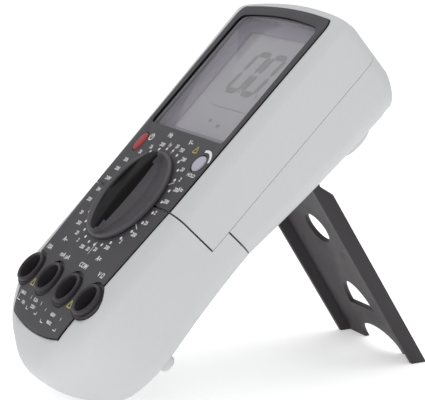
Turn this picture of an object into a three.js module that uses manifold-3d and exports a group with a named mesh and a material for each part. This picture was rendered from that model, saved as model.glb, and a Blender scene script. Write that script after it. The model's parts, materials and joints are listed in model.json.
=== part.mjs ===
// A hand-held bench multimeter leaning back on its fold-out stand. Millimetres, +Z up.
//
// The meter is drawn flat in its own frame: X across the width, Y up the length with 0 at the
// housing seam, and Z out of the front panel with 0 on the panel. One group then leans it back
// until it rests on its rounded lower end and on the two feet of the stand.

import * as THREE from 'three';
import { LoftGeometry } from 'three/addons/geometries/LoftGeometry.js';
import { mergeVertices } from 'three/addons/utils/BufferGeometryUtils.js';
import Module from 'manifold-3d';

const wasm = await Module();
wasm.setup();

const { degToRad, mapLinear, clamp, smoothstep } = THREE.MathUtils;

// ---------------------------------------------------------------- driving dimensions

const LEAN = degToRad(45); // the panel's angle above the table
const LEG_SLOPE = degToRad(58.3); // the deployed leg's angle below the horizontal

const HALF_WIDTH = 39.6; // housing, at the seam
const TOP_FLARE = 2.2; // the half width gains this much at the top
const TIP_Y = -77.5; // lower end of the housing
const TOP_Y = 106; // upper end
const WAIST_Y = 10; // the shallowest place of the back
const WAIST_DEPTH = 38;
const TOP_EXTRA_DEPTH = 6;
const LOWER_EXTRA_DEPTH = 5;
const FRONT_FALL = 0.12; // the upper end slopes down from the parting line to the front
const BACK_FALL = 0.38; // and more steeply to the back, in mm for each mm
const TIP_DEPTH = 17; // where the lower end's front and back curves meet
const PARTING_Z = -21.5; // front and rear shells meet here
const STEP_Y = 9.6; // the lower shell's back reaches this far up
const SEAM = 0.9; // open joint across the housing
const GAP = 0.3; // clearance between pieces that touch
const WALL = 2.2;

const LABEL = 0.5; // thickness of the front panel plates
const LABEL_HALF = 33.8;
const WINDOW_LOW = 33.3;
const WINDOW_HIGH = 94.6;
const WINDOW_HALF = 31.3;

const JACK_PITCH = 19; // the standard spacing of meter sockets
const JACK_Y = -44.1;
const JACK_X = [-1.5, -0.5, 0.5, 1.5].map((step) => step * JACK_PITCH);
const BANANA_RADIUS = 2; // bore of a 4 mm socket

const RANGE_POSITIONS = 28; // clicks in one turn of the range knob
const KNOB_RADIUS = 21.6;
const KNOB_HOLE = 9.2;
const RIDGE_HALF_LENGTH = 21;
const RIDGE_HALF_WIDTH = 6.6;
const RIDGE_TOP = 8;

const POWER_AT = [-26.2, 23.2];
const HOLD_AT = [27, 22.6];
const HOLD_RADIUS = 3.8;

const BOARD_TOP = -11.5;
const BOARD_BOTTOM = -13.1;
const BOARD_HALF = 32.3;

const PIVOT_Y = 50.5; // the stand's trunnions
const PIVOT_Z = -39;
const STAND_HALF = 29;
const STAND_WALL = 2;
const LEG_FRONT = 1.5; // flange edges, from the trunnion towards the housing
const LEG_BACK = -4.5; // outer face of the web
const TRUNNION = 1.9;

const RECESS = { half: 29.6, low: -53, high: 56, floor: -35 };
const REAR_SCREW_AT = [36, 88];
const SHELL_SCREW_AT = [26.4, 5.4];

const FINISH = {
  housing: { color: 0xcacccc, roughness: 0.42, metalness: 0 },
  panel: { color: 0x59575b, roughness: 0.55, metalness: 0 },
  lens: { color: 0xb4b4b8, roughness: 0.08, metalness: 0, transparent: true, opacity: 0.35 },
  mask: { color: 0x7b7980, roughness: 0.6, metalness: 0 },
  lcd: { color: 0x9a999c, roughness: 0.25, metalness: 0 },
  black: { color: 0x2a2729, roughness: 0.45, metalness: 0 },
  stand: { color: 0x4a4649, roughness: 0.5, metalness: 0 },
  red: { color: 0x9b3f3c, roughness: 0.4, metalness: 0 },
  pale: { color: 0xb7b5c0, roughness: 0.35, metalness: 0 },
  rubber: { color: 0x3a3a3c, roughness: 0.85, metalness: 0 },
  brass: { color: 0xc8a04a, roughness: 0.3, metalness: 1 },
  steel: { color: 0xb0b2b5, roughness: 0.3, metalness: 1 },
  board: { color: 0x2e6b3c, roughness: 0.5, metalness: 0 },
  ceramic: { color: 0xe6e1d6, roughness: 0.5, metalness: 0 },
  battery: { color: 0x35506e, roughness: 0.4, metalness: 0.2 },
};

// ---------------------------------------------------------------- solids

// A closed three.js geometry as a solid, with shared corners merged and flat slivers dropped.
function solidOf(geometry) {
  geometry.deleteAttribute('normal');
  geometry.deleteAttribute('uv');
  const merged = mergeVertices(geometry, 1e-4);
  const corners = merged.index.array;
  const kept = [];
  for (let i = 0; i < corners.length; i += 3) {
    const [a, b, c] = [corners[i], corners[i + 1], corners[i + 2]];
    if (a !== b && b !== c && c !== a) kept.push(a, b, c);
  }
  const vertProperties = new Float32Array(merged.attributes.position.array);
  const triVerts = new Uint32Array(kept);
  return new wasm.Manifold(new wasm.Mesh({ numProp: 3, vertProperties, triVerts }));
}

function geometryOf(solid) {
  const mesh = solid.getMesh();
  const geometry = new THREE.BufferGeometry();
  geometry.setAttribute('position', new THREE.BufferAttribute(mesh.vertProperties, 3));
  geometry.setIndex(new THREE.BufferAttribute(mesh.triVerts, 1));
  geometry.computeVertexNormals();
  return geometry;
}

function block([x0, y0, z0], [x1, y1, z1]) {
  const geometry = new THREE.BoxGeometry(x1 - x0, y1 - y0, z1 - z0);
  geometry.translate((x0 + x1) / 2, (y0 + y1) / 2, (z0 + z1) / 2);
  return solidOf(geometry);
}

// A cylinder along Z between two heights.
function rod(radius, low, high, [x, y] = [0, 0], sides = 20) {
  const geometry = new THREE.CylinderGeometry(radius, radius, high - low, sides);
  geometry.rotateX(Math.PI / 2);
  geometry.translate(x, y, (low + high) / 2);
  return solidOf(geometry);
}

// A cylinder along X.
function crossRod(radius, x0, x1, y, z, sides = 16) {
  const geometry = new THREE.CylinderGeometry(radius, radius, x1 - x0, sides);
  geometry.rotateZ(Math.PI / 2);
  geometry.translate((x0 + x1) / 2, y, z);
  return solidOf(geometry);
}

// A cylinder along Y.
function longRod(radius, y0, y1, x, z, sides = 16) {
  const geometry = new THREE.CylinderGeometry(radius, radius, y1 - y0, sides);
  geometry.translate(x, (y0 + y1) / 2, z);
  return solidOf(geometry);
}

// An outline in XY as a slab between two heights, with its edges eased when bevel is above 0.
function slab(outline, low, high, { bevel = 0, curveSegments = 8 } = {}) {
  const geometry = new THREE.ExtrudeGeometry(outline, {
    depth: high - low - 2 * bevel,
    bevelEnabled: bevel > 0,
    bevelThickness: bevel,
    bevelSize: bevel,
    bevelOffset: -bevel,
    bevelSegments: 2,
    curveSegments,
  });
  geometry.translate(0, 0, low + bevel);
  return solidOf(geometry);
}

// A profile of [radius, height] points turned about Z.
function turned(profile, [x, y] = [0, 0], sides = 32) {
  const points = profile.map(([radius, height]) => new THREE.Vector2(radius, height));
  const geometry = new THREE.LatheGeometry(points, sides);
  geometry.rotateX(Math.PI / 2);
  geometry.translate(x, y, 0);
  return solidOf(geometry);
}

// Close cuts can leave specks beside a piece, or inside it: the piece is its largest body.
function mainBody(solid) {
  const bodies = solid.simplify(0.005).decompose();
  return bodies.reduce((largest, body) => (body.volume() > largest.volume() ? body : largest));
}

function addPart(group, name, solid, finish) {
  const mesh = new THREE.Mesh(geometryOf(mainBody(solid)), new THREE.MeshStandardMaterial(finish));
  mesh.name = name;
  group.add(mesh);
}

// The same shape on the left (-X) and on the right (+X).
function mirrored(build) {
  return [['left', -1], ['right', 1]].map(([side, sign]) => [side, build(sign)]);
}

// ---------------------------------------------------------------- the housing's outer form

// 1 along the body, falling to 0 at the tip along a rounded curve of the given power.
function endCurve(y, start, power) {
  const t = clamp((start - y) / (start - TIP_Y), 0, 1);
  return Math.sqrt(1 - t ** power);
}

function halfWidthAt(y) {
  const flare = TOP_FLARE * clamp(y / 90, 0, 1);
  return (HALF_WIDTH + flare) * endCurve(y, -35, 2.6);
}

function frontAt(y) {
  return -TIP_DEPTH * (1 - endCurve(y, -42, 1.7));
}

function backAt(y) {
  const up = Math.sin(clamp((y - WAIST_Y) / 85, 0, 1) * Math.PI / 2);
  const down = clamp((WAIST_Y - y) / 72, 0, 1) ** 2;
  const depth = WAIST_DEPTH + TOP_EXTRA_DEPTH * up + LOWER_EXTRA_DEPTH * down;
  return -(TIP_DEPTH + (depth - TIP_DEPTH) * endCurve(y, -58, 2.2));
}

function cornerRadii(y, halfWidth, depth) {
  const end = clamp((-45 - y) / 32, 0, 1);
  const top = clamp(y / 90, 0, 1);
  const front = 6 + 8 * end - 2 * top;
  const back = 9 + 8 * end;
  const fit = Math.min(1, 0.95 * halfWidth / back, 0.95 * depth / (front + back));
  return [front * fit, back * fit];
}

// One closed section of the housing across the length: four rounded corners, inset all round.
function housingSection({ y, inset, scale }, wall) {
  const shrink = inset + wall;
  const halfWidth = Math.max(halfWidthAt(y) - shrink, 0.4);
  const front = frontAt(y) - shrink;
  const back = Math.min(backAt(y) + shrink, front - 0.8);
  const [frontRadius, backRadius] = cornerRadii(y, halfWidth, front - back);
  const middle = (front + back) / 2;
  const crown = smoothstep(y, 80, 100);
  const along = mapLinear(y, TIP_Y, TOP_Y, TIP_Y + wall, TOP_Y - wall);
  const outline = [];
  const corner = (side, start, radius, z) => {
    for (let turn = 0; turn <= 90; turn += 22.5) {
      const angle = degToRad(start - turn);
      outline.push([side * (halfWidth - radius) + radius * Math.cos(angle), z + radius * Math.sin(angle)]);
    }
  };
  const straight = (reach, z) => {
    for (const step of [-0.7, -0.4, 0, 0.4, 0.7]) outline.push([step * reach, z]);
  };
  corner(-1, 180, frontRadius, front - frontRadius);
  straight(halfWidth - frontRadius, front);
  corner(1, 90, frontRadius, front - frontRadius);
  corner(1, 0, backRadius, back + backRadius);
  straight(backRadius - halfWidth, back);
  corner(-1, -90, backRadius, back + backRadius);
  return outline.map(([across, height]) => {
    const x = scale * across;
    const z = middle + scale * (height - middle);
    const fall = z > PARTING_Z ? FRONT_FALL : BACK_FALL;
    const drop = x ** 2 / 400 + fall * Math.abs(z - PARTING_Z);
    return new THREE.Vector3(x, along - crown * drop, z);
  });
}

// Places along the length where sections are taken, with a rounded rim at the top end.
function housingStations() {
  const stations = [];
  for (let angle = 84; angle > 0; angle -= 12) {
    stations.push({ y: -35 - (-35 - TIP_Y) * Math.sin(degToRad(angle)), inset: 0, scale: 1 });
  }
  for (const y of [-35, -15, WAIST_Y, 30, 50, 70, 80, 88, 94, 98]) {
    stations.push({ y, inset: 0, scale: 1 });
  }
  const rim = 4;
  for (const angle of [0, 30, 60, 90]) {
    const turn = degToRad(angle);
    const y = TOP_Y - rim + rim * Math.sin(turn);
    stations.push({ y, inset: rim * (1 - Math.cos(turn)), scale: 1 });
  }
  for (const scale of [0.6, 0.2]) stations.push({ y: TOP_Y, inset: rim, scale });
  return stations;
}

function housing(wall) {
  const sections = housingStations().map((station) => housingSection(station, wall));
  const loft = new LoftGeometry(sections, { capStart: true, capEnd: true });
  return solidOf(new THREE.BufferGeometry().copy(loft));
}

// ---------------------------------------------------------------- front panel outlines

// The panel's arched upper end, drawn from left to right, for a half width and a crown height.
function archedTop(shape, half, shoulder, crown) {
  shape.lineTo(-half, shoulder);
  shape.quadraticCurveTo(-half, crown - 2.6, -half + 3.2, crown - 2);
  shape.quadraticCurveTo(0, crown + 2, half - 3.2, crown - 2);
  shape.quadraticCurveTo(half, crown - 2.6, half, shoulder);
}

function windowOutline(grow) {
  const half = WINDOW_HALF + grow;
  const low = WINDOW_LOW - grow;
  const shape = new THREE.Shape();
  shape.moveTo(-half + 2, low);
  shape.quadraticCurveTo(-half, low, -half, low + 2);
  archedTop(shape, half, WINDOW_HIGH - 6.5 + grow, WINDOW_HIGH + grow);
  shape.lineTo(half, low + 2);
  shape.quadraticCurveTo(half, low, half - 2, low);
  shape.closePath();
  return shape;
}

function upperPanelOutline(grow) {
  const half = LABEL_HALF + 1.9 + grow;
  const low = SEAM / 2 - grow * 10;
  const shape = new THREE.Shape();
  shape.moveTo(-LABEL_HALF - grow, low);
  shape.lineTo(-half, 87);
  archedTop(shape, half, 91 + grow, 99 + grow);
  shape.lineTo(LABEL_HALF + grow, low);
  const radius = KNOB_HOLE - 2 * grow;
  shape.absarc(0, 0, radius, Math.asin(low / radius), Math.PI - Math.asin(low / radius), false);
  shape.closePath();
  return shape;
}

function lowerPanelOutline(grow) {
  const high = -SEAM / 2 + grow * 10;
  const shape = new THREE.Shape();
  shape.moveTo(-LABEL_HALF - grow, high);
  shape.lineTo(-KNOB_HOLE - 1, high);
  const radius = KNOB_HOLE - 2 * grow;
  shape.absarc(0, 0, radius, Math.PI - Math.asin(high / radius), Math.asin(high / radius), false);
  shape.lineTo(LABEL_HALF + grow, high);
  shape.lineTo(31.4 + grow, -37);
  shape.quadraticCurveTo(30.6 + grow, -48, 23.2 + grow, -61.7 - grow);
  shape.quadraticCurveTo(0, -67 - grow, -23.2 - grow, -61.7 - grow);
  shape.quadraticCurveTo(-30.6 - grow, -48, -31.4 - grow, -37);
  shape.closePath();
  return shape;
}

function ovalOutline([x, y], halfWidth, halfLength) {
  const shape = new THREE.Shape();
  shape.absellipse(x, y, halfWidth, halfLength, 0, 2 * Math.PI, false);
  return shape;
}

// ---------------------------------------------------------------- shells and panel plates

const outer = housing(0);
const inner = housing(WALL);
const panelSkin = outer.subtract(housing(LABEL));
const belowPanel = housing(LABEL + 2 * GAP);

function powerHole(grow) {
  return slab(ovalOutline(POWER_AT, 2.8 + grow, 4.6 + grow), -8, 8);
}

function holdHole(grow) {
  return rod(HOLD_RADIUS + grow, -8, 8, HOLD_AT);
}

// The counterbore takes a socket collar's rim, and the narrower hole its neck.
function jackHoles(extra = 0) {
  const holes = JACK_X.map((x) => rod(8.3 + extra, -2, 8, [x, JACK_Y]).add(rod(7.3, -12, 0, [x, JACK_Y])));
  return holes.reduce((all, hole) => all.add(hole));
}

function hollowHousing() {
  const { half, low, high, floor } = RECESS;
  const pocket = block([-half, low, -60], [half, high, floor]);
  const pocketWalls = block([-half - WALL, low - WALL, -60], [half + WALL, high + WALL, floor + WALL]);
  const trunnionHoles = crossRod(TRUNNION + 0.25, -half - 1.7, half + 1.7, PIVOT_Y, PIVOT_Z);
  return outer.subtract(inner.subtract(pocketWalls)).subtract(pocket).subtract(trunnionHoles);
}

const hollow = hollowHousing();
const far = 200;

function upperFrontShell() {
  const [bossX, bossY] = REAR_SCREW_AT;
  const [lowX, lowY] = SHELL_SCREW_AT;
  const zone = block([-far, SEAM / 2, PARTING_Z + GAP / 2], [far, far, far]);
  let shell = hollow.intersect(zone);
  for (const sign of [-1, 1]) {
    const screwHole = rod(1.5, -40, -16, [sign * bossX, bossY]);
    const upper = rod(3.1, -31, -2, [sign * bossX, bossY]).subtract(screwHole);
    const lower = rod(3.1, -32.2, -2, [sign * lowX, lowY]).subtract(rod(1.5, -40, -16, [sign * lowX, lowY]));
    shell = shell.add(upper).add(lower);
  }
  const window = slab(windowOutline(0), -10, 10);
  const pocket = slab(upperPanelOutline(GAP), -3, 10).subtract(belowPanel);
  return shell.subtract(pocket).subtract(window).subtract(rod(KNOB_HOLE, -10, 10, [0, 0], 32))
    .subtract(powerHole(GAP)).subtract(holdHole(GAP));
}

function upperRearShell() {
  const [x, y] = REAR_SCREW_AT;
  const zone = block([-far, STEP_Y + SEAM / 2, -far], [far, far, PARTING_Z - GAP / 2]);
  let shell = hollow.intersect(zone);
  for (const sign of [-1, 1]) {
    const tube = rod(5, -50, -31.4, [sign * x, y]).intersect(outer);
    const bore = rod(3.2, -60, -34, [sign * x, y]).add(rod(1.7, -60, -20, [sign * x, y]));
    shell = shell.add(tube).subtract(bore);
  }
  return shell;
}

function lowerShell() {
  const [x, y] = SHELL_SCREW_AT;
  const frontZone = block([-far, -far, -far], [far, -SEAM / 2, far]);
  const backZone = block([-far, -far, -far], [far, STEP_Y - SEAM / 2, PARTING_Z - GAP / 2]);
  let shell = hollow.intersect(frontZone.add(backZone));
  for (const sign of [-1, 1]) {
    const head = rod(2.9, -40, -33.9, [sign * x, y]);
    shell = shell.subtract(head).subtract(rod(1.7, -40, -20, [sign * x, y]));
  }
  const pocket = slab(lowerPanelOutline(GAP), -20, 10).subtract(belowPanel);
  return shell.subtract(pocket).subtract(rod(KNOB_HOLE, -10, 10, [0, 0], 32)).subtract(jackHoles());
}

function upperPanel() {
  const plate = slab(upperPanelOutline(0), -3, 10).intersect(panelSkin);
  return plate.subtract(slab(windowOutline(0), -10, 10)).subtract(powerHole(GAP)).subtract(holdHole(GAP));
}

function lowerPanel() {
  return slab(lowerPanelOutline(0), -20, 10).intersect(panelSkin).subtract(jackHoles(0.1));
}

// ---------------------------------------------------------------- display

const LCD = { half: 24.5, low: 37, high: 88.5 };

function lcdFrame() {
  const ring = block([-32, 31, BOARD_TOP + GAP], [32, 96, -2.8])
    .subtract(block([-30.6, 32.4, -20], [30.6, 94.6, 0]));
  const mask = block([-31, 32, -5.6], [31, 95, -4.8])
    .subtract(block([-LCD.half, LCD.low, -20], [LCD.half, LCD.high, 0]));
  return ring.add(mask).intersect(housing(WALL + 2 * GAP));
}

function lcdGlass() {
  return block([-29.5, 34, -8.7], [29.5, 92, -5.9]);
}

function zebraStrip() {
  return block([-27, 34.6, BOARD_TOP + GAP], [27, 37, -9]);
}

function displayLens() {
  return slab(windowOutline(-GAP), -2.4, -0.9);
}

// ---------------------------------------------------------------- range knob and switch

function leafOutline(halfLength, halfWidth) {
  const bulge = 2 * halfWidth - 3;
  const shape = new THREE.Shape();
  shape.moveTo(-3, -halfLength + 1.5);
  shape.quadraticCurveTo(0, -halfLength - 1.5, 3, -halfLength + 1.5);
  shape.quadraticCurveTo(bulge, 0, 3, halfLength - 1.5);
  shape.quadraticCurveTo(0, halfLength + 1.5, -3, halfLength - 1.5);
  shape.quadraticCurveTo(-bulge, 0, -3, -halfLength + 1.5);
  return shape;
}

function functionKnob() {
  const rim = KNOB_RADIUS;
  const profile = [[0, 0.4], [rim - 0.5, 0.4], [rim, 0.9], [rim, 1.8], [rim - 1, 2.6], [0, 2.6]];
  const skirt = turned(profile, [0, 0], 44);
  const leaf = leafOutline(RIDGE_HALF_LENGTH, RIDGE_HALF_WIDTH);
  const ridge = slab(leaf, 0.8, RIDGE_TOP, { bevel: 1.6 });
  const hub = rod(KNOB_HOLE - 0.7, -4.9, 1, [0, 0], 32);
  return skirt.add(ridge).add(hub);
}

function selectorRotor() {
  return turned([[0, -10.9], [2.6, -10.9], [2.6, -8.2], [19, -8.2], [19, -5.2], [0, -5.2]], [0, 0], 32);
}

// A bridging contact under the rotor: a short arc of sprung brass.
function rotorWiper(radius, turn) {
  const reach = degToRad(28);
  const shape = new THREE.Shape();
  shape.absarc(0, 0, radius + 1, turn - reach, turn + reach, false);
  shape.absarc(0, 0, radius - 1, turn + reach, turn - reach, true);
  shape.closePath();
  return slab(shape, -11.1, -8.5);
}

function detentBall(sign) {
  const geometry = new THREE.SphereGeometry(1.5, 10, 7);
  geometry.translate(sign * 20.75, 0, -6.7);
  return solidOf(geometry);
}

// A ring on the board with one shallow notch for each click.
function detentRing() {
  const shape = new THREE.Shape();
  shape.absarc(0, 0, 23.5, 0, 2 * Math.PI, false);
  const notches = new THREE.Path();
  const steps = RANGE_POSITIONS * 2;
  const points = Array.from({ length: steps }, (_, i) => {
    const angle = 2 * Math.PI * i / steps;
    const radius = 22.6 - 0.25 * Math.cos(RANGE_POSITIONS * angle);
    return new THREE.Vector2(radius * Math.cos(angle), radius * Math.sin(angle));
  });
  notches.setFromPoints(points);
  shape.holes.push(notches);
  return slab(shape, BOARD_TOP + GAP, -3.2, { curveSegments: 28 });
}

// ---------------------------------------------------------------- push buttons

// Each cap has a flange that holds it in the shell and a stem that enters its switch.
function powerButton() {
  const cap = slab(ovalOutline(POWER_AT, 2.7, 4.5), -3.4, 1.1, { bevel: 0.7 });
  const flange = slab(ovalOutline(POWER_AT, 3.8, 5.6), -4, -3.1);
  return cap.add(flange).add(rod(1.2, -7.6, -3.5, POWER_AT, 10));
}

function holdButton() {
  const [x, y] = HOLD_AT;
  const edge = HOLD_RADIUS - 0.1;
  const profile = [[0, -4], [4.8, -4], [4.8, -3.1], [edge, -3.1], [edge, 0.2], [edge - 0.7, 0.7], [0, 0.9]];
  const cap = turned(profile, [x, y], 20);
  return cap.add(rod(1.2, -7.6, -3.5, HOLD_AT, 10));
}

function buttonSwitch([x, y]) {
  const body = block([x - 4, y - 4, BOARD_TOP + GAP], [x + 4, y + 4, -5.9]);
  return body.subtract(rod(1.6, -10, 0, [x, y], 10));
}

// ---------------------------------------------------------------- input sockets

function jackCollar(x) {
  const profile = [
    [8, -1.5], [8, 1.1], [7.5, 1.6], [6, 1.6], [5.5, 1.1], [5.5, -9.8], [3.9, -9.8], [3.9, -3.4],
    [3, -3.4], [3, BOARD_TOP + GAP], [7, BOARD_TOP + GAP], [7, -1.5], [8, -1.5],
  ];
  return turned(profile, [x, JACK_Y], 24);
}

function jackSocket(x) {
  const bore = BANANA_RADIUS;
  const profile = [[0, -25], [bore + 0.7, -25], [bore + 0.7, -4.2], [bore, -4.2], [bore, -24], [0, -24]];
  return turned(profile, [x, JACK_Y], 12);
}

// ---------------------------------------------------------------- inside the housing

function circuitBoard() {
  const shape = new THREE.Shape();
  shape.moveTo(-BOARD_HALF, 94.5);
  shape.lineTo(-BOARD_HALF, -40);
  shape.quadraticCurveTo(-BOARD_HALF, -56, -20, -66);
  shape.lineTo(20, -66);
  shape.quadraticCurveTo(BOARD_HALF, -56, BOARD_HALF, -40);
  shape.lineTo(BOARD_HALF, 94.5);
  let board = slab(shape, BOARD_BOTTOM, BOARD_TOP);
  for (const x of JACK_X) board = board.subtract(rod(3.1, -20, 0, [x, JACK_Y], 12));
  for (const sign of [-1, 1]) {
    const [x, y] = SHELL_SCREW_AT;
    board = board.subtract(rod(3.6, -20, 0, [sign * x, y], 12));
  }
  return board;
}

const FUSES = {
  high_current: { x: 22, low: -36, high: -4, radius: 3.2 },
  low_current: { x: -22, low: -31, high: -11, radius: 2.6 },
};
const FUSE_Z = -18.3;

function fuse({ x, low, high, radius }) {
  const tube = longRod(radius - 0.3, low, high, x, FUSE_Z);
  const caps = [[low, low + 5.5], [high - 5.5, high]].map(([a, b]) => longRod(radius, a, b, x, FUSE_Z));
  return tube.add(caps[0]).add(caps[1]);
}

// A sprung fork that grips one end cap, open away from the board.
function fuseClip({ x, low, high, radius }, end) {
  const y = end === 'lower' ? low + 0.6 : high - 4.6;
  const slot = radius + GAP;
  const fork = block([x - slot - 0.8, y, -21], [x + slot + 0.8, y + 4, BOARD_BOTTOM - GAP]);
  return fork.subtract(block([x - slot, y - 1, -30], [x + slot, y + 5, FUSE_Z + slot]));
}

// A thick bent bar across the high current path.
function shuntBar() {
  const path = new THREE.CurvePath();
  const [x0, x1, y, low, high] = [-14, 14, -53, -20, BOARD_BOTTOM - GAP];
  path.add(new THREE.LineCurve3(new THREE.Vector3(x0, y, high), new THREE.Vector3(x0, y, low)));
  const left = [[x0, y, low], [x0, y, low - 4], [x0 + 4, y, low - 4]];
  const right = [[x1 - 4, y, low - 4], [x1, y, low - 4], [x1, y, low]];
  const vectors = (points) => points.map((point) => new THREE.Vector3(...point));
  const bend = (points) => new THREE.QuadraticBezierCurve3(...vectors(points));
  path.add(bend(left));
  path.add(new THREE.LineCurve3(new THREE.Vector3(...left[2]), new THREE.Vector3(...right[0])));
  path.add(bend(right));
  path.add(new THREE.LineCurve3(new THREE.Vector3(x1, y, low), new THREE.Vector3(x1, y, high)));
  const wire = new THREE.Shape();
  wire.absarc(0, 0, 1.1, 0, 2 * Math.PI, false);
  return solidOf(new THREE.ExtrudeGeometry(wire, { extrudePath: path, steps: 22, curveSegments: 4 }));
}

const BATTERY = { half: 13.1, low: -36, high: 12.3, back: -31.8, front: -14.3 };

function battery() {
  const { half, low, high, back, front } = BATTERY;
  const middle = (back + front) / 2;
  const terminals = [[-6.35, 2.9], [6.35, 2.2]];
  const studs = terminals.map(([x, radius]) => longRod(radius, high - 1, high + 2.8, x, middle));
  return block([-half, low, back], [half, high, front]).add(studs[0]).add(studs[1]);
}

function batterySnap() {
  const { high, back, front } = BATTERY;
  const middle = (back + front) / 2;
  return block([-12, high + 3.1, middle - 5.5], [12, high + 6, middle + 5.5]);
}

function buzzer() {
  const back = -18;
  const top = BOARD_BOTTOM - GAP;
  const bore = [[0, top], [0, back + 1.5], [1.5, back + 1.5], [1.5, back]];
  const profile = [...bore, [11, back], [11, top], [0, top]];
  return turned(profile, [0, 42], 20);
}

function rearScrew(sign) {
  const [x, y] = REAR_SCREW_AT;
  return rod(2.9, -36.4, -34.3, [sign * x, y], 14).add(rod(1.2, -35, -18, [sign * x, y], 8));
}

function shellScrew(sign) {
  const [x, y] = SHELL_SCREW_AT;
  return rod(2.6, -35.6, -34.2, [sign * x, y], 14).add(rod(1.2, -35, -18, [sign * x, y], 8));
}

// ---------------------------------------------------------------- rear pads

// The lower pair is narrow, because the folded stand's flanges lie just inside it.
const UPPER_PAD = { x: 31.6, y: 73, halfWidth: 3.6, halfLength: 8, height: 2 };
const LOWER_PAD = { x: 32.6, y: -42, halfWidth: 2.6, halfLength: 3.4, height: 2.2 };
const padClearance = housing(-GAP);

function rearPad(sign, { x, y, halfWidth, halfLength, height }) {
  const outline = ovalOutline([sign * x, y], halfWidth, halfLength);
  return slab(outline, backAt(y) - height, backAt(y) + 3, { bevel: 0.6 }).subtract(padClearance);
}

// ---------------------------------------------------------------- tilt stand

// Drawn folded: the leg runs down -Y from the trunnions, with its outer face towards -Z.
function standLeg(legLength) {
  const footAt = (z) => -(legLength - z * Math.cos(LEG_SLOPE)) / Math.sin(LEG_SLOPE);
  const side = new THREE.Shape();
  side.moveTo(-footAt(LEG_FRONT), LEG_FRONT);
  side.lineTo(6, LEG_FRONT + 0.6);
  side.lineTo(3, 2.4);
  side.absarc(0, 0, 3, Math.PI / 3, Math.PI * 1.67, false);
  side.lineTo(7, -1.4);
  side.lineTo(13.3, LEG_BACK);
  side.lineTo(-footAt(LEG_BACK), LEG_BACK);
  side.closePath();
  const across = { depth: 2 * STAND_HALF, bevelEnabled: false, curveSegments: 6 };
  const flanges = new THREE.ExtrudeGeometry(side, across);
  // The outline's first axis becomes -Y, its second Z, and the extrusion runs across X.
  const basis = new THREE.Matrix4().makeBasis(
    new THREE.Vector3(0, -1, 0), new THREE.Vector3(0, 0, 1), new THREE.Vector3(-1, 0, 0));
  flanges.applyMatrix4(basis);
  flanges.translate(STAND_HALF, 0, 0);
  const inside = STAND_HALF - STAND_WALL;
  const channel = block([-inside, -far, LEG_BACK + STAND_WALL], [inside, 10, 10]);
  const betweenEars = block([-inside, -13.3, -10], [inside, 10, 10]);
  const trunnions = crossRod(TRUNNION, -STAND_HALF - 1.3, -inside, 0, 0)
    .add(crossRod(TRUNNION, inside, STAND_HALF + 1.3, 0, 0));
  return solidOf(flanges).subtract(channel).subtract(betweenEars).add(trunnions);
}

// The openings in the web, at heights measured up from the feet.
function standOpenings(footY) {
  const round = new THREE.Shape();
  round.absarc(0, footY + 66, 7.4, 0, 2 * Math.PI, false);
  const dome = new THREE.Shape();
  dome.moveTo(-9.2, footY + 23);
  dome.lineTo(9.2, footY + 23);
  dome.absellipse(0, footY + 23, 9.2, 14, 0, Math.PI, false);
  const arch = new THREE.Shape();
  arch.moveTo(-14.5, footY - 5);
  arch.lineTo(14.5, footY - 5);
  arch.lineTo(14.5, footY + 2);
  arch.absellipse(0, footY + 2, 14.5, 10.5, 0, Math.PI, false);
  return [round, dome, arch].map((outline) => slab(outline, -10, 10));
}

function tiltStand(pivotHeight) {
  const footY = -(pivotHeight - LEG_BACK * Math.cos(LEG_SLOPE)) / Math.sin(LEG_SLOPE);
  return standOpenings(footY).reduce((leg, hole) => leg.subtract(hole), standLeg(pivotHeight));
}

// ---------------------------------------------------------------- assembly

const meter = new THREE.Group();
meter.rotation.x = LEAN;

addPart(meter, 'upper_front_shell', upperFrontShell(), FINISH.housing);
addPart(meter, 'upper_rear_shell', upperRearShell(), FINISH.housing);
addPart(meter, 'lower_shell', lowerShell(), FINISH.housing);
addPart(meter, 'upper_panel_plate', upperPanel(), FINISH.panel);
addPart(meter, 'lower_panel_plate', lowerPanel(), FINISH.panel);
addPart(meter, 'display_lens', displayLens(), FINISH.lens);
addPart(meter, 'lcd_frame', lcdFrame(), FINISH.mask);
addPart(meter, 'lcd_glass', lcdGlass(), FINISH.lcd);
addPart(meter, 'zebra_strip', zebraStrip(), FINISH.rubber);
addPart(meter, 'function_knob', functionKnob(), FINISH.black);
addPart(meter, 'selector_rotor', selectorRotor(), FINISH.black);
addPart(meter, 'rotor_wiper_inner', rotorWiper(9, 0), FINISH.brass);
addPart(meter, 'rotor_wiper_outer', rotorWiper(15.5, Math.PI), FINISH.brass);
addPart(meter, 'detent_ring', detentRing(), FINISH.pale);
addPart(meter, 'power_button', powerButton(), FINISH.red);
addPart(meter, 'power_switch', buttonSwitch(POWER_AT), FINISH.black);
addPart(meter, 'hold_button', holdButton(), FINISH.pale);
addPart(meter, 'hold_switch', buttonSwitch(HOLD_AT), FINISH.black);
addPart(meter, 'circuit_board', circuitBoard(), FINISH.board);
addPart(meter, 'shunt_bar', shuntBar(), FINISH.steel);
addPart(meter, 'battery', battery(), FINISH.battery);
addPart(meter, 'battery_snap', batterySnap(), FINISH.black);
addPart(meter, 'buzzer', buzzer(), FINISH.black);
JACK_X.forEach((x, i) => {
  addPart(meter, `jack_collar_${i + 1}`, jackCollar(x), FINISH.black);
  addPart(meter, `jack_socket_${i + 1}`, jackSocket(x), FINISH.brass);
});
for (const [name, size] of Object.entries(FUSES)) {
  addPart(meter, `${name}_fuse`, fuse(size), FINISH.ceramic);
  for (const end of ['lower', 'upper']) {
    addPart(meter, `${name}_clip_${end}`, fuseClip(size, end), FINISH.steel);
  }
}
for (const [side, ball] of mirrored(detentBall)) addPart(meter, `detent_ball_${side}`, ball, FINISH.steel);
for (const [side, screw] of mirrored(rearScrew)) addPart(meter, `rear_screw_${side}`, screw, FINISH.steel);
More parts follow.
